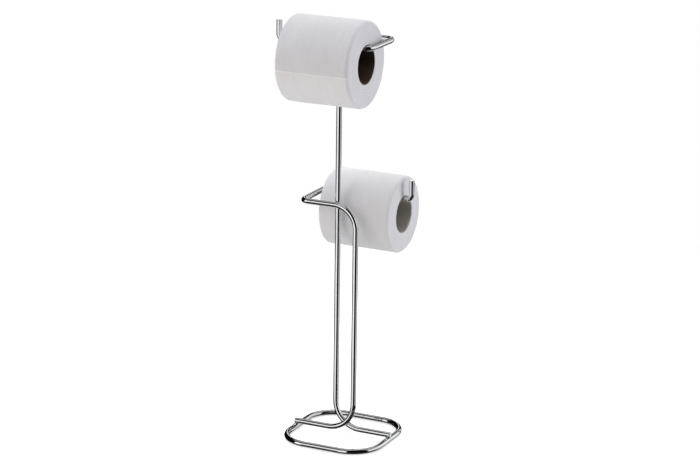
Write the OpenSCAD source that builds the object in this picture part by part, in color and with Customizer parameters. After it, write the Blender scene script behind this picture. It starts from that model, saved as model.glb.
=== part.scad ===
// Free-standing toilet roll holder bent from round chromed wire: a flat base ring, a tall rod whose
// arm holds a roll in front, and a short rod whose arm stores a spare roll behind.
// Millimetres, +Z up, origin on the floor at the centre of the base ring. +X runs along the arms and
// -Y is the front.

/* [Wire] */
// Thickness of the wire that the ring and both rods are bent from
wire_d = 7.2; // [5:0.1:10]
// Bevel left on each sawn and filed wire end
end_bevel = 0.5; // [0.2:0.1:1.2]

/* [Base ring] */
// Outside width and depth of the square ring
ring_w = 137; // [120:1:200]
// Bend radius of the ring's corners, to the middle of the wire
ring_bend_r = 39.5; // [20:0.5:50]
// Width of the butt weld that closes the ring
seam_w = 1.6; // [1:0.1:3]
// How much lower than the wire the ground butt weld lies
seam_relief = 0.1; // [0.05:0.05:0.4]

/* [Posts] */
// Where the tall rod's post stands, left of the ring's centre
tall_post_x = -11.2; // [-18:0.1:-8]
// Where the short rod's post stands, right of the ring's centre
short_post_x = 17.3; // [12:0.1:24]
// Depth of the plane in which the two rods touch, behind the ring's centre
joint_y = -3.4; // [-10:0.1:10]
// Radius of the bend from each foot up into its post
foot_bend_r = 35.5; // [25:0.5:42]
// Radius of the bend from each post over into its arm
post_bend_r = 30; // [20:0.5:35]
// How far the tall rod's foot stops short of the ring's outer edge
tall_foot_inset = 0.2; // [0:0.1:2.5]
// How far the short rod's foot stops short of the ring's outer edge
short_foot_inset = 1.7; // [0:0.1:2.5]

/* [Arms] */
// Height of the upper arm, to the middle of the wire
upper_arm_z = 534.5; // [480:0.5:640]
// Height of the lower arm, to the middle of the wire
lower_arm_z = 312.5; // [260:0.5:340]
// Where the upper arm's side piece runs, right of the ring's centre
upper_elbow_x = 63; // [58:0.5:90]
// Where the lower arm's side piece runs, left of the ring's centre
lower_elbow_x = -60; // [-90:0.5:-55]
// Radius of the two bends at each arm's side piece
elbow_bend_r = 9; // [6:0.5:14]
// Radius of the bend from each arm into its upturned tip
tip_bend_r = 8; // [6:0.5:12]
// Height of the upper tip's end above the middle of the arm
upper_tip_h = 25; // [18:0.5:32]
// Height of the lower tip's end above the middle of the arm
lower_tip_h = 26.5; // [18:0.5:32]
// Sideways play of the roll on the upper arm
upper_play = 16.8; // [8:0.2:40]
// Sideways play of the roll on the lower arm
lower_play = 17.8; // [8:0.2:40]

/* [Welds] */
// Depth that the wires sink into each other where they are welded
weld_sink = 0.4; // [0.2:0.05:0.8]
// Radius of the weld metal around each touching point
weld_r = 3; // [2.6:0.1:4]

/* [Rolls] */
// Width of the paper
roll_w = 100; // [90:1:120]
// Diameter of the roll on the upper arm
upper_roll_d = 109; // [80:1:125]
// Diameter of the roll on the lower arm
lower_roll_d = 101; // [80:1:125]
// Radius of the soft edge round each end of a roll
roll_edge_r = 5; // [3:0.5:9]
// Inside diameter of the cardboard core
core_bore_d = 48; // [42:0.5:54]
// Wall of the cardboard core
core_wall = 0.8; // [0.5:0.1:1.5]
// How far the core's ends lie inside the paper's
core_inset = 0.5; // [0:0.1:2]
// Gap above the arm, under the top of the core
hang_gap = 0.3; // [0.1:0.05:1]
// Gap between the upper roll and the arm's side piece
upper_roll_gap = 0.4; // [0.3:0.1:6]
// Gap between the lower roll and the arm's tip
lower_roll_gap = 6.4; // [0.3:0.1:8]
// Gap between the upper roll and the tall post
upper_roll_clear = 12; // [3:0.5:30]
// Gap between the lower roll and the tall post
lower_roll_clear = 5.3; // [3:0.1:30]

/* [Last sheets] */
// Length of a sheet between two perforations
sheet_l = 110; // [90:1:140]
// Thickness of the loose last sheet
sheet_t = 0.4; // [0.2:0.05:1]
// Place of the upper roll's free edge, in degrees from its top over its front
upper_edge_deg = 97; // [0:1:359]
// Place of the lower roll's free edge, in degrees from its top over its front
lower_edge_deg = 205; // [0:1:359]
// How far round a roll's soft edge the last sheet reaches, in degrees
sheet_wrap_deg = 55; // [20:1:75]

/* [Hidden] */
$fn = 96;

chrome = [0.78, 0.79, 0.81];
weld_metal = [0.66, 0.67, 0.69];
tissue_white = [0.93, 0.93, 0.95];
sheet_white = [0.97, 0.97, 0.98];
cardboard = [0.55, 0.45, 0.36];

// Cutters reach this far past the faces that they cut
past = 1;
weld_half_h = 1.5;

wire_r = wire_d / 2;
ring_c = (ring_w - wire_d) / 2;
foot_z = wire_d + wire_r - weld_sink;

// The rods lie side by side, each sunk into the other by half of weld_sink
tall_y = joint_y + wire_r - weld_sink / 2;
short_y = joint_y - wire_r + weld_sink / 2;

tall_foot_end = ring_w / 2 - tall_foot_inset;
short_foot_end = -ring_w / 2 + short_foot_inset;

upper_tip_x = upper_elbow_x - wire_d - roll_w - upper_play;
lower_tip_x = lower_elbow_x + wire_d + roll_w + lower_play;
upper_arm_y = tall_y - wire_r - upper_roll_clear - upper_roll_d / 2;
lower_arm_y = tall_y + wire_r + lower_roll_clear + lower_roll_d / 2;

upper_roll_x = upper_elbow_x - wire_r - upper_roll_gap - roll_w / 2;
lower_roll_x = lower_tip_x - wire_r - lower_roll_gap - roll_w / 2;
hang_drop = core_bore_d / 2 - wire_r - hang_gap;

// The feet's bends cross midway between the posts
low_cross_x = (tall_post_x + short_post_x) / 2;
low_cross_dx = foot_bend_r - (short_post_x - tall_post_x) / 2;
low_cross_z = foot_z + foot_bend_r - sqrt(foot_bend_r * foot_bend_r - low_cross_dx * low_cross_dx);

// The short rod crosses the tall post where its top bend is nearly level
high_cross_dx = max(0, tall_post_x - (short_post_x - post_bend_r));
high_cross_z = lower_arm_z - post_bend_r
    + sqrt(post_bend_r * post_bend_r - high_cross_dx * high_cross_dx);

tall_points = [
    [tall_foot_end, tall_y, foot_z],
    [tall_post_x, tall_y, foot_z],
    [tall_post_x, tall_y, upper_arm_z],
    [upper_elbow_x, tall_y, upper_arm_z],
    [upper_elbow_x, upper_arm_y, upper_arm_z],
    [upper_tip_x, upper_arm_y, upper_arm_z],
    [upper_tip_x, upper_arm_y, upper_arm_z + upper_tip_h]
];
short_points = [
    [short_foot_end, short_y, foot_z],
    [short_post_x, short_y, foot_z],
    [short_post_x, short_y, lower_arm_z],
    [lower_elbow_x, short_y, lower_arm_z],
    [lower_elbow_x, lower_arm_y, lower_arm_z],
    [lower_tip_x, lower_arm_y, lower_arm_z],
    [lower_tip_x, lower_arm_y, lower_arm_z + lower_tip_h]
];
rod_bends = [foot_bend_r, post_bend_r, elbow_bend_r, elbow_bend_r, tip_bend_r];

ring_points = [
    [seam_w / 2, ring_c, wire_r],
    [ring_c, ring_c, wire_r],
    [ring_c, -ring_c, wire_r],
    [-ring_c, -ring_c, wire_r],
    [-ring_c, ring_c, wire_r],
    [-seam_w / 2, ring_c, wire_r]
];

function direction(a, b) = (b - a) / norm(b - a);

// A straight piece of wire with a bevel of the given size at each end
module straight(a, b, bevel_a, bevel_b) {
    v = b - a;
    l = norm(v);
    translate(a) rotate([0, acos(v[2] / l), atan2(v[1], v[0])]) {
        translate([0, 0, bevel_a]) cylinder(h = l - bevel_a - bevel_b, r = wire_r);
        if (bevel_a > 0) cylinder(h = bevel_a, r1 = wire_r - bevel_a, r2 = wire_r);
        if (bevel_b > 0)
            translate([0, 0, l - bevel_b]) cylinder(h = bevel_b, r1 = wire_r, r2 = wire_r - bevel_b);
    }
}

// A right-angled bend at a corner, for a wire that comes in along u and leaves along v
module bend(corner, u, v, r) {
    c = corner - u * r + v * r;
    w = cross(u, v);
    multmatrix([
        [-v[0], u[0], w[0], c[0]],
        [-v[1], u[1], w[1], c[1]],
        [-v[2], u[2], w[2], c[2]]
    ])
        rotate_extrude(angle = 90) translate([r, 0]) circle(r = wire_r);
}

// A wire through the given corners, with one bend radius for each corner between its ends
module bent_wire(points, bends, bevel) {
    last = len(points) - 1;
    for (i = [0 : last - 1]) {
        d = direction(points[i], points[i + 1]);
        a = points[i] + d * (i > 0 ? bends[i - 1] : 0);
        b = points[i + 1] - d * (i < last - 1 ? bends[i] : 0);
        straight(a, b, i == 0 ? bevel : 0, i == last - 1 ? bevel : 0);
        if (i < last - 1)
            bend(points[i + 1], d, direction(points[i + 1], points[i + 2]), bends[i]);
    }
}

module ring_wire() {
    bent_wire(ring_points, [for (i = [1 : 4]) ring_bend_r], 0);
}

module tall_wire() {
    bent_wire(tall_points, rod_bends, end_bevel);
}

module short_wire() {
    bent_wire(short_points, rod_bends, end_bevel);
}

// The straight side of the ring that a foot lies on
module ring_side(side) {
    straight([side * ring_c, -ring_c + ring_bend_r, wire_r],
             [side * ring_c, ring_c - ring_bend_r, wire_r], 0, 0);
}

module base_ring() {
    color(chrome) ring_wire();
}

// Ground slug of weld metal between the two ends of the ring
module ring_butt_weld() {
    color(weld_metal)
        translate([-seam_w / 2, ring_c, wire_r]) rotate([0, 90, 0])
            cylinder(h = seam_w, r = wire_r - seam_relief);
}

module tall_rod() {
    color(chrome) difference() {
        tall_wire();
        ring_side(1);
    }
}

module short_rod() {
    color(chrome) difference() {
        short_wire();
        ring_side(-1);
        tall_wire();
    }
}

// Thin fillet of metal squeezed out around the point where a foot lies on the ring
module foot_weld(side, y) {
    color(weld_metal) difference() {
        translate([side * ring_c, y, wire_d - weld_sink / 2 - weld_half_h])
            cylinder(h = 2 * weld_half_h, r = weld_r);
        ring_side(side);
        straight([side * (ring_c - weld_r - past), y, foot_z],
                 [side * (ring_c + weld_r + past), y, foot_z], 0, 0);
    }
}

module tall_foot_weld() {
    foot_weld(1, tall_y);
}

module short_foot_weld() {
    foot_weld(-1, short_y);
}

// Thin fillet of metal squeezed out around the point where the two rods cross
module crossing_weld(x, z) {
    color(weld_metal) difference() {
        translate([x, joint_y + weld_half_h, z]) rotate([90, 0, 0])
            cylinder(h = 2 * weld_half_h, r = weld_r);
        tall_wire();
        short_wire();
    }
}

module lower_crossing_weld() {
    crossing_weld(low_cross_x, low_cross_z);
}

module upper_crossing_weld() {
    crossing_weld(tall_post_x, high_cross_z);
}

// Half section of a wound roll, out from its axis, with soft outer edges
module roll_section(r_in, r_out, w, edge_r) {
    translate([r_in, -w / 2]) square([r_out - edge_r - r_in, w]);
    translate([r_in, -w / 2 + edge_r]) square([r_out - r_in, w - 2 * edge_r]);
    for (side = [-1, 1])
        translate([r_out - edge_r, side * (w / 2 - edge_r)]) circle(r = edge_r);
}

// Places a roll's parts, made about +Z, on their arm
module on_arm(x, y, arm_z) {
    translate([x, y, arm_z - hang_drop]) rotate([0, 90, 0]) children();
}

module core() {
    color(cardboard)
        rotate_extrude()
            translate([core_bore_d / 2, -roll_w / 2 + core_inset])
                square([core_wall, roll_w - 2 * core_inset]);
}

module tissue(roll_d) {
    color(tissue_white)
        rotate_extrude()
            roll_section(core_bore_d / 2 + core_wall, roll_d / 2 - sheet_t, roll_w, roll_edge_r);
}

// One sheet lying on the roll, from its free edge on round the roll
module last_sheet(roll_d, edge_deg) {
    r = roll_d / 2 - sheet_t;
    r_bore = core_bore_d / 2 + core_wall;
    r_hem = r - roll_edge_r * (1 - cos(sheet_wrap_deg));
    color(sheet_white)
        rotate([0, 0, edge_deg + 180])
            rotate_extrude(angle = sheet_l / (roll_d / 2) * 180 / PI)
                intersection() {
                    difference() {
                        roll_section(r_bore, r + sheet_t, roll_w + 2 * sheet_t, roll_edge_r + sheet_t);
                        roll_section(r_bore, r, roll_w, roll_edge_r);
                    }
                    translate([r_hem, -roll_w]) square([r, 2 * roll_w]);
                }
}

module upper_core() {
    on_arm(upper_roll_x, upper_arm_y, upper_arm_z) core();
}

module upper_tissue() {
    on_arm(upper_roll_x, upper_arm_y, upper_arm_z) tissue(upper_roll_d);
}

module upper_last_sheet() {
    on_arm(upper_roll_x, upper_arm_y, upper_arm_z) last_sheet(upper_roll_d, upper_edge_deg);
}

module lower_core() {
    on_arm(lower_roll_x, lower_arm_y, lower_arm_z) core();
}

module lower_tissue() {
    on_arm(lower_roll_x, lower_arm_y, lower_arm_z) tissue(lower_roll_d);
}

module lower_last_sheet() {
    on_arm(lower_roll_x, lower_arm_y, lower_arm_z) last_sheet(lower_roll_d, lower_edge_deg);
}

base_ring();
ring_butt_weld();
tall_rod();
short_rod();
tall_foot_weld();
short_foot_weld();
lower_crossing_weld();
upper_crossing_weld();
upper_core();
upper_tissue();
upper_last_sheet();
lower_core();
lower_tissue();
lower_last_sheet();
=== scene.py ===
import math

import bpy
import numpy as np
from mathutils import Matrix, Vector, noise


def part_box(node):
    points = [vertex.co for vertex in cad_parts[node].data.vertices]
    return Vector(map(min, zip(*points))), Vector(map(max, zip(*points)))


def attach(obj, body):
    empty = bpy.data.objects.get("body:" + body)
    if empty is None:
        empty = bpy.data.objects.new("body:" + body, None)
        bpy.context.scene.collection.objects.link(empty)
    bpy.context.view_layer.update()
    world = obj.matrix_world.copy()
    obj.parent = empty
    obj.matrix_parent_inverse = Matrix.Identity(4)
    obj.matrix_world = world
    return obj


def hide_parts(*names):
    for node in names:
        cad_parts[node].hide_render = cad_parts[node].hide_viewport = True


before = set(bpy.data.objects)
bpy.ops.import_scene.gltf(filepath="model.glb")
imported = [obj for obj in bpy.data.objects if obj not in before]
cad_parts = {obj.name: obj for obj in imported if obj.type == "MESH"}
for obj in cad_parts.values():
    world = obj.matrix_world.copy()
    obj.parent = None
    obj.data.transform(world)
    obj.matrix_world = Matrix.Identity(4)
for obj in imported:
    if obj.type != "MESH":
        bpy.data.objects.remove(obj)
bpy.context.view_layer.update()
mm = 0.001


# small helpers for node trees

def addNode(tree, kind, inputs=None, **settings):
    made = tree.nodes.new(kind)
    for name, value in settings.items():
        setattr(made, name, value)
    for name, value in (inputs or {}).items():
        if isinstance(value, bpy.types.NodeSocket):
            tree.links.new(value, made.inputs[name])
        else:
            made.inputs[name].default_value = value
    return made


def maths(tree, operation, a, b=0.5, c=0.5):
    return addNode(tree, "ShaderNodeMath", {0: a, 1: b, 2: c}, operation=operation).outputs[0]


def addUp(tree, *parts):
    # the sum of each part's value times its weight
    total = 0.0
    for value, weight in parts:
        total = maths(tree, "MULTIPLY_ADD", value, weight, total)
    return total


def ramp(tree, value, start, end, low=0.0, high=1.0):
    # a soft step from low at start to high at end
    made = addNode(tree, "ShaderNodeMapRange", {"Value": value, "From Min": start, "From Max": end,
                   "To Min": low, "To Max": high}, interpolation_type="SMOOTHSTEP")
    return made.outputs["Result"]


def blendColour(tree, share, a, b):
    made = addNode(tree, "ShaderNodeMix", data_type="RGBA")
    for socket, value in ((made.inputs[0], share), (made.inputs[6], a), (made.inputs[7], b)):
        if isinstance(value, bpy.types.NodeSocket):
            tree.links.new(value, socket)
        else:
            socket.default_value = value
    return made.outputs[2]


def noiseOn(tree, vector, scale, detail, roughness=0.55):
    made = addNode(tree, "ShaderNodeTexNoise",
                   {"Vector": vector, "Scale": scale, "Detail": detail, "Roughness": roughness})
    return made.outputs["Fac"]


def stretch(tree, x, y, scaleX, scaleY):
    # the two coordinates as one vector, each with its own scale
    made = addNode(tree, "ShaderNodeCombineXYZ",
                   {0: maths(tree, "MULTIPLY", x, scaleX), 1: maths(tree, "MULTIPLY", y, scaleY), 2: 0.0})
    return made.outputs[0]


def setBump(tree, shader, height, strength, distance):
    made = addNode(tree, "ShaderNodeBump", {"Height": height, "Strength": strength, "Distance": distance})
    tree.links.new(made.outputs[0], shader.inputs["Normal"])


def newMaterial(name, **principled):
    material = bpy.data.materials.new(name)
    material.use_nodes = True
    tree = material.node_tree
    shader = tree.nodes["Principled BSDF"]
    for socket, value in principled.items():
        shader.inputs[socket.replace("_", " ")].default_value = value
    return material, tree, shader


# camera: where the photograph was taken from

shot = dict(
    azimuth=25.43,         # degrees from the front, towards the right
    elevation=16.04,
    roll=0.75,
    distance=3.15952,
    target=(0.0078, -0.0034, 0.27622),
    focalPixels=2467.09,   # focal length in pixels of the 700 pixel wide picture
    pictureWidth=700,
    sensor=36.0,
)


def makeCamera(s):
    az, el, roll = (math.radians(s[k]) for k in ("azimuth", "elevation", "roll"))
    back = Vector((math.sin(az) * math.cos(el), -math.cos(az) * math.cos(el), math.sin(el)))
    right = Vector((math.cos(az), math.sin(az), 0))
    up = back.cross(right)
    across = right * math.cos(roll) + up * math.sin(roll)
    upright = up * math.cos(roll) - right * math.sin(roll)
    data = bpy.data.cameras.new("camera")
    data.sensor_width = s["sensor"]
    data.sensor_fit = "HORIZONTAL"
    data.lens = s["focalPixels"] * s["sensor"] / s["pictureWidth"]
    data.clip_start = 0.05
    data.clip_end = 60
    camera = bpy.data.objects.new("camera", data)
    bpy.context.scene.collection.objects.link(camera)
    turn = Matrix((across, upright, back)).transposed().to_4x4()
    camera.matrix_world = Matrix.Translation(Vector(s["target"]) + back * s["distance"]) @ turn
    bpy.context.scene.camera = camera


makeCamera(shot)
print("camera placed")


# studio: white all round, with soft boxes and black flags that only the metal sees

studio = dict(
    backdrop=1.0,
    around=0.25,            # light on matt surfaces from all round
    metalTop=0.23,          # what the metal sees overhead where no card is
    # azimuth from the front towards the right, elevation, half width and half height, in degrees
    cards=[
        dict(name="floorFront", az=0, el=-52, wide=180, high=40, soft=6, level=0.015),
        dict(name="floorBack", az=-159, el=-46, wide=52, high=40, soft=8, level=0.70),
        dict(name="backWall", az=-161, el=47, wide=28, high=21, soft=8, level=0.92),
        dict(name="leftFlag", az=-124, el=3, wide=73, high=42, soft=5, level=0.002),
        dict(name="leftBox", az=-25, el=7, wide=31, high=28, soft=5, level=1.20),
        dict(name="behindCamera", az=46, el=24, wide=40, high=47, soft=6, level=0.003),
        dict(name="rightBox", az=119, el=11, wide=36, high=31, soft=6, level=0.98),
        dict(name="backStrip", az=171, el=9, wide=5, high=21, soft=4, level=0.80),
        dict(name="floorLeft", az=-117, el=-43, wide=38, high=8, soft=5, level=0.23),
        dict(name="rightNear", az=96, el=-10, wide=16, high=8, soft=5, level=0.47),
        dict(name="rightLow", az=128, el=-13, wide=21, high=10, soft=5, level=0.48),
        dict(name="leftBoxLow", az=-28, el=-11, wide=5, high=12, soft=3, level=0.20),
        dict(name="leftBoxHigh", az=-43, el=43, wide=15, high=16, soft=4, level=0.01),
        dict(name="frontUpper", az=-9, el=28, wide=15, high=11, soft=5, level=0.45),
        dict(name="rightUpper", az=122, el=36, wide=40, high=10, soft=5, level=0.48),
        dict(name="backGap", az=-155, el=16, wide=5, high=7, soft=3, level=1.0),
    ],
)


def makeWorld(s):
    world = bpy.data.worlds.new("studio")
    bpy.context.scene.world = world
    world.use_nodes = True
    tree = world.node_tree
    tree.nodes.clear()
    direction = addNode(tree, "ShaderNodeTexCoord").outputs["Generated"]
    part = addNode(tree, "ShaderNodeSeparateXYZ", {0: direction})
    azimuth = maths(tree, "ARCTAN2", part.outputs["X"], maths(tree, "MULTIPLY", part.outputs["Y"], -1.0))
    azimuth = maths(tree, "DEGREES", azimuth)
    elevation = maths(tree, "DEGREES", maths(tree, "ARCSINE", part.outputs["Z"]))
    seen = s["metalTop"]
    for card in s["cards"]:
        sideways = maths(tree, "WRAP", maths(tree, "SUBTRACT", azimuth, card["az"]), 180.0, -180.0)
        upways = maths(tree, "SUBTRACT", elevation, card["el"])
        half = card["soft"] / 2
        inWidth = ramp(tree, maths(tree, "ABSOLUTE", sideways), card["wide"] + half, card["wide"] - half)
        inHeight = ramp(tree, maths(tree, "ABSOLUTE", upways), card["high"] + half, card["high"] - half)
        mask = maths(tree, "MULTIPLY", inWidth, inHeight)
        seen = addNode(tree, "ShaderNodeMix", {"Factor": mask, "A": seen, "B": card["level"]},
                       label=card["name"]).outputs[0]
    metalView = addNode(tree, "ShaderNodeBackground", {"Color": seen})
    soft = addNode(tree, "ShaderNodeBackground", {"Color": (1, 1, 1, 1), "Strength": s["around"]})
    white = addNode(tree, "ShaderNodeBackground", {"Color": (1, 1, 1, 1), "Strength": s["backdrop"]})
    path = addNode(tree, "ShaderNodeLightPath")
    mirrored = maths(tree, "MAXIMUM", path.outputs["Is Glossy Ray"], path.outputs["Is Transmission Ray"])
    first = addNode(tree, "ShaderNodeMixShader", {0: mirrored, 1: soft.outputs[0], 2: metalView.outputs[0]})
    last = addNode(tree, "ShaderNodeMixShader",
                   {0: path.outputs["Is Camera Ray"], 1: first.outputs[0], 2: white.outputs[0]})
    addNode(tree, "ShaderNodeOutputWorld", {"Surface": last.outputs[0]})


makeWorld(studio)

# lamps: power in watts, size in metres
lamps = [
    dict(name="overhead", at=(-0.5, 0.1, 4.6), size=3.0, power=80, tint=(0.83, 0.90, 1.0)),
    dict(name="leftBox", at=(-1.25, -2.69, 0.77), size=2.6, power=13, tint=(1.0, 0.88, 0.79)),
    dict(name="leftBoxTop", at=(-1.1, -2.35, 1.8), size=2.4, power=21.5, tint=(1.0, 0.965, 0.955)),
    dict(name="rightBox", at=(2.55, 1.41, 1.03), size=1.1, power=29.5, tint=(1.0, 0.99, 1.0)),
    dict(name="backWall", at=(-0.78, 2.26, 2.86), size=2.4, power=54, tint=(1.0, 0.96, 0.86)),
]
lampAim = (0, 0, 0.3)


def makeLamp(s, aim):
    data = bpy.data.lights.new(s["name"], "AREA")
    data.shape = "SQUARE"
    data.size = s["size"]
    data.energy = s["power"]
    data.color = s["tint"]
    lamp = bpy.data.objects.new(s["name"], data)
    bpy.context.scene.collection.objects.link(lamp)
    lamp.location = s["at"]
    lamp.rotation_euler = (Vector(aim) - Vector(s["at"])).to_track_quat("-Z", "Y").to_euler()
    lamp.visible_glossy = False
    lamp.visible_camera = False


for lamp in lamps:
    makeLamp(lamp, lampAim)

floor = dict(
    radius=9.0,
    corners=96,
    colour=0.82,
    glow=0.52,        # added in the camera's view alone, so that the floor looks white
    fadeFrom=0.35,    # metres from the middle at which the floor starts to turn into plain white
    fadeTo=1.1,
)


def makeFloor(s):
    angles = [2 * math.pi * i / s["corners"] for i in range(s["corners"])]
    rim = [(s["radius"] * math.cos(a), s["radius"] * math.sin(a), 0.0) for a in angles]
    mesh = bpy.data.meshes.new("floor")
    mesh.from_pydata(rim, [], [list(range(len(rim)))])
    plane = bpy.data.objects.new("floor", mesh)
    bpy.context.scene.collection.objects.link(plane)
    plane.visible_glossy = False  # the metal sees the studio's own floor cards instead
    material = bpy.data.materials.new("floorPaint")
    material.use_nodes = True
    tree = material.node_tree
    tree.nodes.clear()
    paint = addNode(tree, "ShaderNodeBsdfDiffuse", {"Color": (s["colour"], s["colour"], s["colour"], 1)})
    seen = addNode(tree, "ShaderNodeLightPath").outputs["Is Camera Ray"]
    glow = addNode(tree, "ShaderNodeEmission", {"Strength": maths(tree, "MULTIPLY", seen, s["glow"])})
    near = addNode(tree, "ShaderNodeAddShader", {0: paint.outputs[0], 1: glow.outputs[0]})
    place = addNode(tree, "ShaderNodeTexCoord").outputs["Object"]
    reach = addNode(tree, "ShaderNodeVectorMath", {0: place}, operation="LENGTH").outputs["Value"]
    away = maths(tree, "MULTIPLY", ramp(tree, reach, s["fadeFrom"], s["fadeTo"]), seen)
    far = addNode(tree, "ShaderNodeEmission", {"Strength": 1.0})
    both = addNode(tree, "ShaderNodeMixShader", {0: away, 1: near.outputs[0], 2: far.outputs[0]})
    addNode(tree, "ShaderNodeOutputMaterial", {"Surface": both.outputs[0]})
    mesh.materials.append(material)


makeFloor(floor)
print("studio, lamps and floor made")


# chromed wire and its welds keep their CAD shapes

wireFinish = dict(
    colour=(0.86, 0.865, 0.875, 1),
    smudged=(0.80, 0.81, 0.83, 1),
    roughness=(0.035, 0.075),   # clean, smudged
    smudgeScale=28.0,           # patches about 35 mm across
    smudgeEdge=(0.48, 0.70),
    lineScale=900.0,            # fine lines left by the drawing die, about 1 mm long
    lineDepth=0.012 * mm,
    lineStrength=0.35,
    waveScale=95.0,             # long waves, about 10 mm
    waviness=1.5,               # height of the long waves against the fine lines
    nodes=("base_ring", "tall_rod", "short_rod"),
)


def makeChrome(s):
    material, tree, shader = newMaterial("polishedChrome", Metallic=1.0)
    place = addNode(tree, "ShaderNodeTexCoord").outputs["Object"]
    smudge = ramp(tree, noiseOn(tree, place, s["smudgeScale"], 4.0), *s["smudgeEdge"])
    tree.links.new(blendColour(tree, smudge, s["colour"], s["smudged"]), shader.inputs["Base Color"])
    clean, dull = s["roughness"]
    tree.links.new(maths(tree, "MULTIPLY_ADD", smudge, dull - clean, clean), shader.inputs["Roughness"])
    lines = noiseOn(tree, place, s["lineScale"], 3.0, 0.6)
    waves = noiseOn(tree, place, s["waveScale"], 2.0, 0.5)
    height = maths(tree, "MULTIPLY_ADD", waves, s["waviness"], lines)
    setBump(tree, shader, height, s["lineStrength"], s["lineDepth"])
    return material


weldFinish = dict(
    colour=(0.74, 0.745, 0.755, 1),
    heated=(0.52, 0.52, 0.53, 1),
    roughness=(0.10, 0.26),     # bright, heated
    beadScale=700.0,            # grains of about 1.5 mm
    beadHeight=0.25 * mm,
    beadStrength=0.5,
    heatedEdge=(0.40, 0.65),
    nodes=("ring_butt_weld", "tall_foot_weld", "short_foot_weld", "lower_crossing_weld",
           "upper_crossing_weld"),
)


def makeWeldMetal(s):
    material, tree, shader = newMaterial("platedWeld", Metallic=1.0)
    place = addNode(tree, "ShaderNodeTexCoord").outputs["Object"]
    beads = noiseOn(tree, place, s["beadScale"], 3.0)
    heated = ramp(tree, beads, *s["heatedEdge"])
    tree.links.new(blendColour(tree, heated, s["colour"], s["heated"]), shader.inputs["Base Color"])
    bright, dull = s["roughness"]
    tree.links.new(maths(tree, "MULTIPLY_ADD", heated, dull - bright, bright), shader.inputs["Roughness"])
    setBump(tree, shader, beads, s["beadStrength"], s["beadHeight"])
    return material


def dress(names, material):
    for name in names:
        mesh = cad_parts[name].data
        mesh.materials.clear()
        mesh.materials.append(material)


dress(wireFinish["nodes"], makeChrome(wireFinish))
dress(weldFinish["nodes"], makeWeldMetal(weldFinish))
print("chrome and welds finished")


# paper: crepe, faint embossing, winding streaks and the edges of the layers on the ends

tissue = dict(
    shade=0.915,            # the dark parts' share of the paper's own tone
    ends=(0.798, 0.793, 0.824, 1),     # tone of the cut ends
    paintedEdgeHighlight=(0.90, 0.885, 0.885, 1),   # painted highlight along the last sheet's free edge
    edgeHighlightFade=(2.4 * mm, 0.9 * mm),  # how far in from the edge that painted highlight fades
    joinFade=(0.66, 0.98),  # shares of the last sheet's length over which its painted light fades into the roll's tone
    paintedShadeSpan=(-40 * mm, 55 * mm),    # where the painted shade over a roll's right part starts and is full
    crepe=0.45 * mm,        # between the fine ridges of the crepe
    crepeAcross=260.0,      # scale of the ridges over the roll
    fibres=(900.0, 620.0),  # scales over the roll and along the paper, for these four
    streaks=(210.0, 34.0),
    clouds=(28.0, 22.0),
    bundles=(420.0, 3.0),   # bundles of layers on the ends
    layer=0.32 * mm,        # between two layers on the ends
    dots=4.2 * mm,          # between the embossed dots
    dotEdge=(0.20, 0.08),
    holes=2.4 * mm,         # between the holes of a perforation
    holeEdge=(0.22, 0.30),
    holeLine=(0.45 * mm, 0.15 * mm),
    relief=0.11 * mm,
    reliefStrength=0.55,
)


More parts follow.
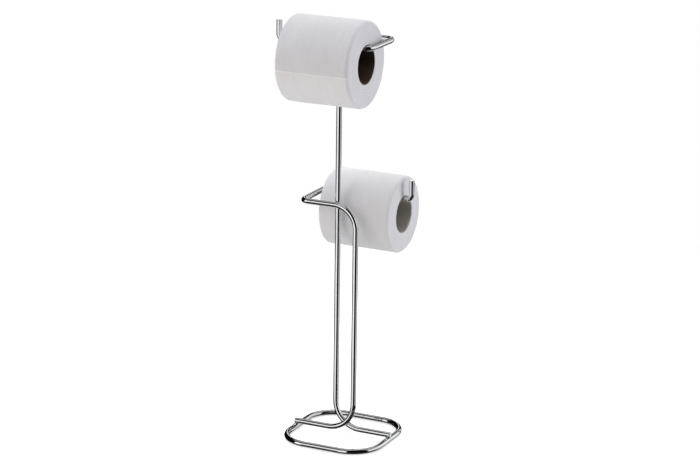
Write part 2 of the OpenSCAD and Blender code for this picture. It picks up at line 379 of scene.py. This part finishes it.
def makeTissue(name, s, colour, paintedShadeRight, sheetLength, rootColour=None):
    material, tree, shader = newMaterial(name, Roughness=0.94, Specular_IOR_Level=0.22, Sheen_Weight=0.12,
                                         Sheen_Roughness=0.6)
    shader.inputs["Sheen Tint"].default_value = (1, 1, 1, 1)
    uv = addNode(tree, "ShaderNodeUVMap", uv_map="paper").outputs[0]
    part = addNode(tree, "ShaderNodeSeparateXYZ", {0: uv})
    across, along = part.outputs["X"], part.outputs["Y"]   # metres over the roll, and along the paper
    end = addNode(tree, "ShaderNodeAttribute", attribute_name="endFace").outputs["Fac"]
    side = maths(tree, "SUBTRACT", 1.0, end)

    def fleece(scales, detail=2.0):
        return noiseOn(tree, stretch(tree, across, along, *scales), 1.0, detail)

    def onSide(value, level=0.0):
        return maths(tree, "MULTIPLY", maths(tree, "SUBTRACT", value, level), side)

    def onEnd(value, level=0.0):
        return maths(tree, "MULTIPLY", maths(tree, "SUBTRACT", value, level), end)

    crepe = fleece((s["crepeAcross"], 1 / s["crepe"]))
    fibres = fleece(s["fibres"], 4.0)
    streaks = fleece(s["streaks"])
    clouds = fleece(s["clouds"])
    edges = fleece((1 / s["layer"], 3.0), 1.0)
    bundles = fleece(s["bundles"], 1.0)

    # rows of small round dots, every other row moved by half a step
    row = maths(tree, "DIVIDE", along, s["dots"] / 2)
    odd = maths(tree, "MULTIPLY", maths(tree, "MODULO", maths(tree, "FLOOR", row), 2.0), 0.5)
    column = maths(tree, "ADD", maths(tree, "DIVIDE", across, s["dots"]), odd)
    offColumn = maths(tree, "SUBTRACT", maths(tree, "FRACT", column), 0.5)
    offRow = maths(tree, "SUBTRACT", maths(tree, "FRACT", row), 0.5)
    off = stretch(tree, offColumn, offRow, 1.0, 0.5)
    reach = addNode(tree, "ShaderNodeVectorMath", {0: off}, operation="LENGTH").outputs["Value"]
    dots = onSide(ramp(tree, reach, *s["dotEdge"]))

    # perforation between two sheets: a dashed line across the paper, but none on the free edge
    share = maths(tree, "DIVIDE", along, sheetLength)
    fromLine = maths(tree, "ABSOLUTE", maths(tree, "SUBTRACT", share, maths(tree, "ROUND", share)))
    onLine = ramp(tree, maths(tree, "MULTIPLY", fromLine, sheetLength), *s["holeLine"])
    hole = ramp(tree, maths(tree, "FRACT", maths(tree, "DIVIDE", across, s["holes"])), *s["holeEdge"])
    pastEdge = onSide(ramp(tree, share, 0.5, 0.6))
    cut = maths(tree, "MULTIPLY", maths(tree, "MULTIPLY", onLine, hole), pastEdge)

    height = addUp(tree, (crepe, 0.44), (fibres, 0.36), (onSide(streaks), 0.8), (onEnd(edges), 0.6),
                   (onEnd(bundles), 1.0), (dots, -0.9), (cut, -0.5))
    setBump(tree, shader, height, s["reliefStrength"], s["relief"])

    place = addNode(tree, "ShaderNodeTexCoord").outputs["Object"]
    sideways = addNode(tree, "ShaderNodeSeparateXYZ", {0: place}).outputs["X"]
    # painted shade: the paper turns darker towards a roll's right end
    paintedShadeRamp = ramp(tree, sideways, *s["paintedShadeSpan"])
    cloudy = maths(tree, "SUBTRACT", clouds, 0.35)
    # painted shade: the edges of the layers on the ends are darker, as shade between layers
    # painted shade: the embossed dots are darker, as shade in their pits
    dark = addUp(tree, (cloudy, 1.2), (onSide(streaks, 0.4), 1.2), (onEnd(edges, 0.5), 0.9),
                 (dots, 0.25), (cut, 0.25), (onSide(paintedShadeRamp), paintedShadeRight))
    dark = addNode(tree, "ShaderNodeClamp", {0: dark}).outputs[0]
    # painted light: the last sheet's lighter tone stands for light from below, fading into the roll's own
    # tone towards its root
    if rootColour:
        colour = blendColour(tree, ramp(tree, share, *s["joinFade"]), colour, rootColour)
    ground = blendColour(tree, end, colour, s["ends"])
    shaded = addNode(tree, "ShaderNodeVectorMath", {0: ground, "Scale": s["shade"]}, operation="SCALE")
    toned = blendColour(tree, dark, ground, shaded.outputs[0])
    if rootColour:
        # painted highlight: a thin lighter band along the sheet's free edge
        toned = blendColour(tree, ramp(tree, along, *s["edgeHighlightFade"]), toned, s["paintedEdgeHighlight"])
    tree.links.new(toned, shader.inputs["Base Color"])
    return material


# the rolls

rollShape = dict(
    softEdge=4.2 * mm,       # radius of the soft edge round each end
    columns=300,             # points round the roll
    across=60,               # points over its width
    layers=44,               # rings of points on each end
    roundSteps=8,            # points over each soft edge
    # faint bands that winding leaves: wave length and depth in mm, start in radians
    bands=((9.1, 0.036, 0.7), (5.3, 0.020, 2.1), (13.7, 0.036, 4.0)),
    crumple=0.42 * mm,       # small dents in the paper's edge near each end
    crumpleSize=9 * mm,
    crumpleRound=5.4,        # how close those dents are round the roll
    crumpleReach=11 * mm,
    dents=0.30 * mm,
    dentSize=34 * mm,
    layerDepth=0.11 * mm,
    layerPitch=1.45 * mm,    # between two bundles of layers on the ends
    dish=0.45 * mm,          # how deep the middle of each end sinks
    paper=0.40 * mm,         # the last turn's step, as thick as the CAD sheet
    fuller=0.10 * mm,        # how far the outside stands beyond the CAD's radius
    coreGap=0.04 * mm,
    stepWidth=0.0008,        # radians over which the last turn's step falls
    closest=0.004,           # radians between that step and the next points
)
sheetShape = dict(
    thick=0.30 * mm,
    width=100 * mm,          # flat width of the last sheet
    edgeReach=2.0 * mm,      # the free edge is pressed thin over this length
    lift=0.10 * mm,          # how far the sheet stands off behind its edge
    liftReach=7.0 * mm,
    swaySize=14 * mm,        # length of the free edge's slow waves
    swayFade=0.06,           # radians over which they die out
    above=0.02 * mm,         # top and underside against the roll's outside
    below=0.04 * mm,
    firstStep=0.0018,        # radians between the first points, which grow by the next number
    stepGrowth=1.14,
    rootGap=0.0012,
    crease=50,               # degrees
)
# each core's paler colour is painted light on the lower side of its bore
# the lower roll's paper carries painted shade, darker towards its right end
# the upper roll's lighter last sheet tone is painted light from below
rolls = [
    dict(name="upper", body="upper_roll", edgeWave=0.3 * mm, seed=3.0,
         paper=(0.766, 0.757, 0.772, 1), lastSheet=(0.858, 0.843, 0.853, 1), paintedShadeRight=0.0,
         board=(0.032, 0.023, 0.017, 1), paintedLight=(0.240, 0.165, 0.120, 1), seam=(0.024, 0.017, 0.012, 1)),
    dict(name="lower", body="lower_roll", edgeWave=0.25 * mm, seed=11.0,
         paper=(0.840, 0.832, 0.845, 1), lastSheet=(0.840, 0.832, 0.845, 1), paintedShadeRight=0.90,
         board=(0.370, 0.350, 0.320, 1), paintedLight=(0.860, 0.825, 0.765, 1), seam=(0.230, 0.215, 0.195, 1)),
]


def newPiece(name, verts, faces, body, replaced, material):
    mesh = bpy.data.meshes.new(name)
    mesh.from_pydata([tuple(v) for v in verts], [], faces)
    mesh.materials.append(material)
    mesh.polygons.foreach_set("use_smooth", [True] * len(mesh.polygons))
    piece = bpy.data.objects.new(name, mesh)
    bpy.context.scene.collection.objects.link(piece)
    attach(piece, body)
    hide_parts(replaced)
    return piece


def setMap(mesh, name, u, v, around=0):
    # u by row and v by column; around is the number of columns of a closed piece, whose closing
    # corners get the full turn's v
    layer = mesh.uv_layers.new(name=name)
    loops = np.zeros(len(mesh.loops), int)
    mesh.loops.foreach_get("vertex_index", loops)
    column, row = loops // len(u), loops % len(u)
    values = np.stack([u[row], v[column]], 1)
    if around:
        starts = np.zeros(len(mesh.polygons), int)
        mesh.polygons.foreach_get("loop_start", starts)
        for a, b in zip(starts, np.append(starts[1:], len(loops))):
            own = column[a:b]
            if own.min() == 0 and own.max() == around - 1:
                values[a:b, 1][own == 0] = v[-1]
    layer.data.foreach_set("uv", values.astype(np.float32).ravel())


def markEnds(mesh, end, columns):
    mask = mesh.attributes.new("endFace", "FLOAT", "POINT")
    mask.data.foreach_set("value", np.tile(end, columns).astype(np.float32))


def bandWave(x, s):
    return sum(depth * mm * np.sin(2 * math.pi * x / (length * mm) + start)
               for length, depth, start in s["bands"])


def dent(x, y, z, s, seed):
    shift = Vector((seed, 0, 0))
    spots = [Vector(spot) / s["dentSize"] + shift for spot in zip(x, y, z)]
    return np.array([noise.noise(spot) for spot in spots]) * s["dents"]


def crumpled(x, turn, half, s, seed):
    # the edges of a wound roll are a little crushed
    near = np.clip(1 - (half - np.abs(x)) / s["crumpleReach"], 0, 1)
    y = math.cos(turn) * s["crumpleRound"]
    z = math.sin(turn) * s["crumpleRound"] + seed
    return np.array([noise.noise(Vector((v / s["crumpleSize"], y, z))) for v in x]) * near * s["crumple"]


def profile(width, bore, outer, s):
    # from the bore over the left end, the outside and the right end, back to the bore
    edge = s["softEdge"]
    flat = outer - edge - bore
    points = []   # x, radius, the surface's direction in x and outwards, share of end face

    def onEdge(side, a):
        points.append((side * (width / 2 - edge + edge * math.sin(a)), outer - edge + edge * math.cos(a),
                       side * math.sin(a), math.cos(a), math.sin(a) ** 2))

    for i in range(s["layers"]):
        points.append((-width / 2, bore + flat * i / s["layers"], -1.0, 0.0, 1.0))
    for i in range(s["roundSteps"]):
        onEdge(-1, math.pi / 2 * (1 - i / s["roundSteps"]))
    for i in range(s["across"] + 1):
        points.append(((width - 2 * edge) * (i / s["across"] - 0.5), outer, 0.0, 1.0, 0.0))
    for i in range(s["roundSteps"]):
        onEdge(1, math.pi / 2 * (i + 1) / s["roundSteps"])
    for i in range(s["layers"]):
        points.append((width / 2, outer - edge - flat * (i + 1) / s["layers"], 1.0, 0.0, 1.0))
    return [np.array(values) for values in zip(*points)]


def sheetSpan(node, centre):
    # the angles between which the CAD's last sheet lies, from the top over the front
    spots = np.array([v.co for v in node.data.vertices]) - np.array(centre)
    turn = np.arctan2(-spots[:, 1], spots[:, 2])
    middle = math.atan2(np.sin(turn).mean(), np.cos(turn).mean())
    off = (turn - middle + math.pi) % (2 * math.pi) - math.pi
    return middle + off.min(), middle + off.max()


def measureRoll(r, s):
    # the roll's sizes from its CAD nodes, and its profile
    low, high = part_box(r["name"] + "_tissue")
    coreLow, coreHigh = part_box(r["name"] + "_core")
    centre = (low + high) / 2
    width = high.x - low.x
    outer = (high.z - low.z) / 2 + s["paper"] + s["fuller"]
    bore = (coreHigh.z - coreLow.z) / 2 + s["coreGap"]
    start, stop = sheetSpan(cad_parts[r["name"] + "_last_sheet"], centre)
    x, radius, outX, outR, end = profile(width, bore, outer, s)
    length = np.concatenate([[0], np.cumsum(np.hypot(np.diff(x), np.diff(radius)))])
    return dict(centre=centre, width=width, outer=outer, bore=bore, start=start, span=stop - start,
                x=x, radius=radius, outX=outX, outR=outR, end=end, length=length)


def columnAt(m, r, s, past, offset):
    # one column of points at the angle past the free edge, moved out by offset
    x, radius, outX, outR = m["x"], m["radius"], m["outX"], m["outR"]
    turn = m["start"] + past
    y, z = -math.sin(turn), math.cos(turn)
    bumps = bandWave(x, s) * outR
    bumps += dent(x, y * radius, z * radius, s, r["seed"]) * (0.35 + 0.65 * outR)
    bumps += crumpled(x, turn, m["width"] / 2, s, r["seed"]) * outR
    winding = radius / s["layerPitch"] - turn / (2 * math.pi)
    fine = np.sin(2 * math.pi * winding) * 0.5
    coarse = np.sin(2 * math.pi * winding * 0.41 + r["seed"]) * 0.5
    layer = -s["layerDepth"] * (1 + fine + coarse)
    fromMiddle = (radius - m["bore"]) / (m["outer"] - m["bore"]) - 0.5
    hollow = -s["dish"] * np.clip(1 - 4 * fromMiddle ** 2, 0, 1)
    px = x + outX * (offset * outR + bumps * 0.3) + np.sign(outX) * m["end"] * (layer + hollow)
    pr = radius + outR * (offset + bumps)
    return np.stack([px, pr * y, pr * z], 1)


def makePaper(m, r, s, coat):
    # wound body: under the last sheet, then the last turn's own outside
    half = s["stepWidth"] / 2
    turns = [t for t in np.linspace(0, 2 * math.pi, s["columns"], endpoint=False)
             if abs(t - m["span"]) > s["closest"]]
    turns = sorted(turns + [m["span"] - half, m["span"] + half])
    verts = []
    for past in turns:
        sunk = s["paper"] * past / (2 * math.pi) + (s["paper"] if past < m["span"] else 0.0)
        verts.append(columnAt(m, r, s, past, -sunk))
    around = len(turns)
    rows = len(m["x"])
    faces = []
    for c in range(around):
        d = (c + 1) % around
        for k in range(rows):
            n = (k + 1) % rows
            faces.append((c * rows + k, d * rows + k, d * rows + n, c * rows + n))
    verts = np.concatenate(verts) + np.array(m["centre"])
    paper = newPiece(r["name"] + "Paper", verts, faces, r["body"], r["name"] + "_tissue", coat)
    setMap(paper.data, "paper", m["length"], np.array(turns + [2 * math.pi]) * m["outer"], around)
    markEnds(paper.data, m["end"], around)
    return paper


def makeLastSheet(m, r, s, sheet, coat):
    # a thin closed piece whose free edge is pressed thin
    hem = (sheet["width"] - (m["width"] - 2 * s["softEdge"])) / 2 / s["softEdge"]
    keep = np.where((m["outR"] > math.cos(hem) - 0.01) & (m["radius"] > m["outer"] - s["softEdge"]))[0]
    outX, outR = m["outX"][keep], m["outR"][keep]
    steps = [0.0]
    gap = sheet["firstStep"]
    while steps[-1] + gap < m["span"] - 0.002:
        steps.append(steps[-1] + gap)
        gap = min(gap * sheet["stepGrowth"], 2 * math.pi / s["columns"])
    steps.append(m["span"] - sheet["rootGap"])
    sway = np.array([noise.noise(Vector((v / sheet["swaySize"], r["seed"], 0))) for v in m["x"][keep]])
    top, under = [], []
    for past in steps:
        turn = m["start"] + past
        sunk = s["paper"] * past / (2 * math.pi)
        behind = past * m["outer"]
        rise = math.sqrt(1 - (1 - min(1.0, behind / sheet["edgeReach"])) ** 2)
        lift = sheet["lift"] * math.exp(-behind / sheet["liftReach"]) * (0.8 + 0.6 * sway) * rise
        base = columnAt(m, r, s, past, -sunk)[keep]
        lean = columnAt(m, r, s, past + 1e-4, -sunk)[keep] - base
        forward = lean / np.linalg.norm(lean, axis=1)[:, None]
        cut = r["edgeWave"] * sway * max(0.0, 1 - past / sheet["swayFade"])
        normal = np.stack([outX, outR * -math.sin(turn), outR * math.cos(turn)], 1) * outR[:, None]
        spot = base + forward * cut[:, None]
        pressed = sheet["thick"] * (1 - rise)
        top.append(spot + normal * (lift[:, None] + sheet["above"] - pressed))
        under.append(spot + normal * (lift[:, None] - sheet["below"] - sheet["thick"]))
    n = len(keep)
    count = len(steps)
    low = count * n   # the underside's first point
    faces = []
    for c in range(count - 1):
        for k in range(n - 1):
            a, b = c * n + k, (c + 1) * n + k
            faces.append((a, b, b + 1, a + 1))
            faces.append((a + low, a + 1 + low, b + 1 + low, b + low))
    for k in range(n - 1):
        a, b = k, (count - 1) * n + k
        faces.append((a, a + 1, a + 1 + low, a + low))
        faces.append((b, b + low, b + 1 + low, b + 1))
    for c in range(count - 1):
        a, b = c * n, c * n + n - 1
        faces.append((a, a + low, a + n + low, a + n))
        faces.append((b, b + n, b + n + low, b + low))
    verts = np.concatenate(top + under) + np.array(m["centre"])
    node = r["name"] + "_last_sheet"
    piece = newPiece(r["name"] + "LastSheet", verts, faces, r["body"], node, coat)
    arc = np.array(steps) * m["outer"]
    setMap(piece.data, "paper", m["length"][keep], np.concatenate([arc, arc]))
    markEnds(piece.data, m["end"][keep], 2 * count)
    piece.data.set_sharp_from_angle(angle=math.radians(sheet["crease"]))
    return piece


def makeRoll(r, s, sheet, look):
    m = measureRoll(r, s)
    sheetLength = m["span"] * m["outer"]
    coat = makeTissue(r["name"] + "Paper", look, r["paper"], r["paintedShadeRight"], sheetLength)
    sheetCoat = makeTissue(r["name"] + "SheetPaper", look, r["lastSheet"], r["paintedShadeRight"], sheetLength,
                           rootColour=r["paper"])
    paper = makePaper(m, r, s, coat)
    lastSheet = makeLastSheet(m, r, s, sheet, sheetCoat)
    print(r["name"], "paper", len(paper.data.polygons), "faces, sheet", len(lastSheet.data.polygons))


# the cores: spiral wound board, open at both ends

boardShape = dict(
    columns=180,
    along=72,
    wall=0.8 * mm,
    rim=0.25 * mm,           # roundness of the cut rims
    paperGap=0.03 * mm,
    seamPitch=62 * mm,
    seamStep=0.10 * mm,
    fray=0.10 * mm,
    crease=60,               # degrees
)
boardFinish = dict(
    radius=23.2 * mm,        # of the board's inside
    fibres=(500.0, 1600.0),  # scales along the core and round it
    fleckEdge=(0.16, 0.05),
    seamEdge=(0.03, 0.008),
    paintedLightSide=196,            # degrees from the top over the front to the middle of the side with painted light
    paintedLightEdge=(0.05, 0.95),
    relief=0.12 * mm,
    reliefStrength=0.6,
)


def makeBoard(r, s, pitch):
    material, tree, shader = newMaterial(r["name"] + "Board", Roughness=0.88, Specular_IOR_Level=0.25)
    uv = addNode(tree, "ShaderNodeUVMap", uv_map="board").outputs[0]
    part = addNode(tree, "ShaderNodeSeparateXYZ", {0: uv})
    along, turned = part.outputs["X"], part.outputs["Y"]
    spot = stretch(tree, along, turned, *s["fibres"])
    fibres = noiseOn(tree, spot, 1.0, 5.0, 0.6)
    flecks = addNode(tree, "ShaderNodeTexVoronoi", {"Vector": spot, "Scale": 0.5}).outputs["Distance"]
    fleck = ramp(tree, flecks, *s["fleckEdge"])
    angle = maths(tree, "DIVIDE", turned, s["radius"])
    fullTurn = maths(tree, "DIVIDE", turned, 2 * math.pi * s["radius"])
    helix = maths(tree, "ADD", maths(tree, "DIVIDE", along, pitch), fullTurn)
    fromSeam = maths(tree, "ABSOLUTE", maths(tree, "SUBTRACT", maths(tree, "FRACT", helix), 0.5))
    seam = ramp(tree, fromSeam, *s["seamEdge"])
    tone = maths(tree, "MULTIPLY_ADD", fibres, 0.9, -0.15)
    tone = maths(tree, "ADD", tone, maths(tree, "MULTIPLY", maths(tree, "MAXIMUM", seam, fleck), 0.5))
    tone = addNode(tree, "ShaderNodeClamp", {0: tone}).outputs[0]
    # painted light: the side of the bore where light falls in is paler, on top of the board's own tone
    fromPale = maths(tree, "SUBTRACT", angle, math.radians(s["paintedLightSide"]))
    paintedLight = ramp(tree, maths(tree, "COSINE", fromPale), *s["paintedLightEdge"])
    ground = blendColour(tree, paintedLight, r["board"], r["paintedLight"])
    tree.links.new(blendColour(tree, tone, ground, r["seam"]), shader.inputs["Base Color"])
    height = maths(tree, "MULTIPLY_ADD", seam, -1.5, fibres)
    setBump(tree, shader, height, s["reliefStrength"], s["relief"])
    return material


def boardProfile(half, inner, outer, s):
    # along the inside from left to right, over the rim, back along the outside, over the rim
    rim = s["rim"]
    points = [(-half + rim + (2 * half - 2 * rim) * i / s["along"], inner) for i in range(s["along"] + 1)]
    rims = ((1, -1, inner + rim, (30, 60, 90)), (1, 1, outer - rim, (90, 45, 0)),
            (-1, 1, outer - rim, (0, 45, 90)), (-1, -1, inner + rim, (90, 60, 30)))
    for side, outwards, level, angles in rims:
        for a in angles:
            points.append((side * (half - rim + rim * math.sin(math.radians(a))),
                           level + outwards * rim * math.cos(math.radians(a))))
    return [np.array(values) for values in zip(*points)]


def makeCore(r, s, finish):
    node = r["name"] + "_core"
    low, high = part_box(node)
    centre = (low + high) / 2
    outer = (high.z - low.z) / 2 - s["paperGap"]
    inner = outer - s["wall"]
    half = (high.x - low.x) / 2
    px, pr = boardProfile(half, inner, outer, s)
    rows = len(px)
    onRim = np.arange(rows) > s["along"]
    verts = []
    for c in range(s["columns"]):
        turn = 2 * math.pi * c / s["columns"]
        helix = (px / s["seamPitch"] + turn / (2 * math.pi)) % 1.0
        step = np.where(onRim, 0.0, np.clip((0.5 - np.abs(helix - 0.5)) * 14, 0, 1) * s["seamStep"])
        y, z = math.cos(turn) * 9, math.sin(turn) * 9
        torn = np.array([noise.noise(Vector((y, z, x * 300 + r["seed"]))) for x in px]) * s["fray"] * onRim
        x = px - np.sign(px) * np.abs(torn)
        radius = np.minimum(pr + s["seamStep"] - step, outer)
        verts.append(np.stack([x, -radius * math.sin(turn), radius * math.cos(turn)], 1))
    faces = []
    for c in range(s["columns"]):
        d = (c + 1) % s["columns"]
        for k in range(rows):
            n = (k + 1) % rows
            faces.append((c * rows + k, c * rows + n, d * rows + n, d * rows + k))
    verts = np.concatenate(verts) + np.array(centre)
    board = makeBoard(r, finish, s["seamPitch"])
    core = newPiece(r["name"] + "Core", verts, faces, r["body"], node, board)
    angles = np.linspace(0, 2 * math.pi, s["columns"] + 1) * inner
    setMap(core.data, "board", px + half, angles, s["columns"])
    core.data.set_sharp_from_angle(angle=math.radians(s["crease"]))


for roll in rolls:
    makeRoll(roll, rollShape, sheetShape, tissue)
    makeCore(roll, boardShape, boardFinish)
print("rolls made")

bpy.context.scene.view_settings.view_transform = "Standard"
